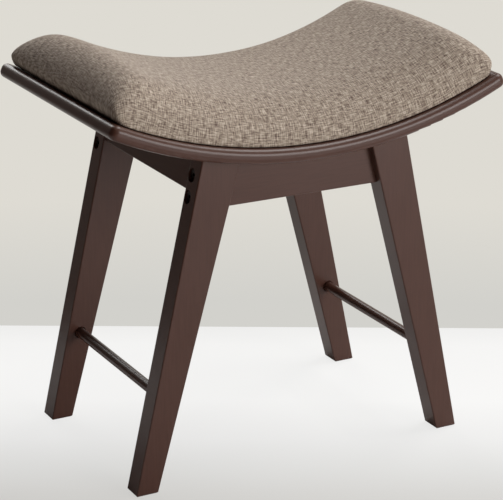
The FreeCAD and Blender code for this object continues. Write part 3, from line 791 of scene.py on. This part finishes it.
@dataclass(frozen=True)
class Studio:
    """Pale floor that ends a little behind the stool, a pale wall beyond it, and soft light.

    Distances along the floor are measured from the middle of the stool, away from the camera.
    """

    azimuth: float
    floor_colour: str = "F4F4F2"
    floor_stops: tuple[tuple[float, str], ...] = (
        (-0.24, "D2D1CE"), (-0.199, "D8D7D4"), (-0.137, "E3E3E1"), (-0.057, "F0F0EF"),
        (0.056, "FAFAF9"), (0.232, "F7F7F6"), (0.295, "F0F0EF"))
    floor_own_share: float = 0.86
    wall_colour: str = "DEDBD3"
    wall_foot_colour: str = "D2D1CC"
    wall_fade: tuple[float, float] = (-20.6, -17.8)
    floor_edge: float = 0.2955
    floor_reach: float = 6.0
    dark_side: tuple[float, float] = (-0.42, -0.20)
    dark_level: float = 0.05
    dim_level: float = 0.20
    dim_colour: str = "E6C4BC"
    lamps: tuple[SoftBox, ...] = (
        SoftBox("front_soft_box", 27.0, 9.0, 0.55, 1.4),
        SoftBox("high_soft_box", 96.0, 62.0, 0.72, 1.8),
        SoftBox("rear_soft_box", 176.0, 33.0, 0.30, 1.4),
    )

    def floor_paint(self) -> bpy.types.Material:
        """Matt white floor paint, which darkens towards the camera as the light falls off.

        The camera sees mostly the paint's own colour, and a share of the light and shadow on it.

        Returns:
            The paint.
        """
        material, tree = new_material("matt_white_floor_paint")
        place = add_node(tree, "ShaderNodeTexCoord")
        turned = add_node(tree, "ShaderNodeMapping", {
            "Vector": place.outputs["Object"], "Rotation": (0.0, 0.0, -math.radians(self.azimuth))})
        parts = add_node(tree, "ShaderNodeSeparateXYZ", {"Vector": turned.outputs["Vector"]})
        near, far = self.floor_stops[0][0], self.floor_stops[-1][0]
        along = add_node(tree, "ShaderNodeMapRange", {
            "Value": parts.outputs["Y"], "From Min": near, "From Max": far})
        ramp = add_node(tree, "ShaderNodeValToRGB", {"Fac": along.outputs["Result"]})
        set_ramp(ramp, [((reach - near) / (far - near), srgb(code)) for reach, code in self.floor_stops])
        lit = add_node(tree, "ShaderNodeBsdfDiffuse", {"Color": srgb(self.floor_colour)})
        own = add_node(tree, "ShaderNodeEmission", {"Color": ramp.outputs["Color"], "Strength": 1.0})
        path = add_node(tree, "ShaderNodeLightPath")
        share = add_node(tree, "ShaderNodeMath", {
            0: path.outputs["Is Camera Ray"], 1: self.floor_own_share}, operation="MULTIPLY")
        both = add_node(tree, "ShaderNodeMixShader", {
            "Fac": share.outputs["Value"], 1: lit.outputs["BSDF"], 2: own.outputs["Emission"]})
        add_node(tree, "ShaderNodeOutputMaterial", {"Surface": both.outputs["Shader"]})
        return material

    def floor(self) -> bpy.types.Object:
        """Make the floor, with its far edge square to the photograph's view.

        Returns:
            The floor.
        """
        sheet = bmesh.new()
        bmesh.ops.create_grid(sheet, x_segments=1, y_segments=1, size=self.floor_reach)
        shift = Matrix.Translation((0.0, self.floor_edge - self.floor_reach, 0.0))
        turn = Matrix.Rotation(math.radians(self.azimuth), 4, "Z")
        bmesh.ops.transform(sheet, matrix=turn @ shift, verts=sheet.verts[:])
        mesh = bpy.data.meshes.new("studio_floor")
        sheet.to_mesh(mesh)
        sheet.free()
        floor = bpy.data.objects.new("studio_floor", mesh)
        bpy.context.scene.collection.objects.link(floor)
        floor.data.materials.append(self.floor_paint())
        return floor

    def wall(self) -> None:
        """Paint the world as the wall.

        The camera sees it at full strength all round. Polished faces see it too, but dark on the left,
        where a black screen stands. Other faces get it as dim light, warmed by the brown stool's own
        bounce.
        """
        world = bpy.data.worlds.new("studio_wall")
        bpy.context.scene.world = world
        world.use_nodes = True
        tree = world.node_tree
        tree.nodes.clear()
        place = add_node(tree, "ShaderNodeTexCoord")
        parts = add_node(tree, "ShaderNodeSeparateXYZ", {"Vector": place.outputs["Generated"]})
        low, high = (math.sin(math.radians(degrees)) for degrees in self.wall_fade)
        tone = add_node(tree, "ShaderNodeMapRange", {
            "Value": parts.outputs["Z"], "From Min": low, "From Max": high})
        paint = add_node(tree, "ShaderNodeValToRGB", {"Fac": tone.outputs["Result"]})
        set_ramp(paint, [(0.0, srgb(self.wall_foot_colour)), (1.0, srgb(self.wall_colour))])
        screen = add_node(tree, "ShaderNodeMapRange", {
            "Value": parts.outputs["X"], "From Min": self.dark_side[0], "From Max": self.dark_side[1],
            "To Min": self.dark_level})
        path = add_node(tree, "ShaderNodeLightPath")
        kind = add_node(tree, "ShaderNodeMapRange", {
            "Value": path.outputs["Is Glossy Ray"], "To Min": self.dim_level})
        shaded = add_node(tree, "ShaderNodeMath", {
            0: screen.outputs["Result"], 1: kind.outputs["Result"]}, operation="MULTIPLY")
        strength = add_node(tree, "ShaderNodeMath", {
            0: shaded.outputs["Value"], 1: path.outputs["Is Camera Ray"]}, operation="MAXIMUM")
        direct = add_node(tree, "ShaderNodeMath", {
            0: path.outputs["Is Camera Ray"], 1: path.outputs["Is Glossy Ray"]}, operation="MAXIMUM")
        colour = add_node(tree, "ShaderNodeMix", {
            "Factor": direct.outputs["Value"], MIX_COLOUR_A: srgb(self.dim_colour),
            MIX_COLOUR_B: paint.outputs["Color"]}, data_type="RGBA")
        seen = add_node(tree, "ShaderNodeBackground", {
            "Color": colour.outputs[MIX_COLOUR_RESULT], "Strength": strength.outputs["Value"]})
        add_node(tree, "ShaderNodeOutputWorld", {"Surface": seen.outputs["Background"]})

    def build(self) -> None:
        """Set up the floor, the wall and the lamps."""
        self.floor()
        self.wall()
        for lamp in self.lamps:
            lamp.build()
        bpy.context.scene.view_settings.view_transform = "Standard"


def main() -> None:
    """Dress the frame, build the pad and set up the studio."""
    logging.basicConfig(level=logging.INFO, format="%(name)s: %(message)s")
    WoodenFrame().dress()
    Fixings().dress()
    SaddlePad().build()
    camera = PhotographCamera()
    camera.build()
    Studio(camera.azimuth).build()


if __name__ == "__main__":
    main()
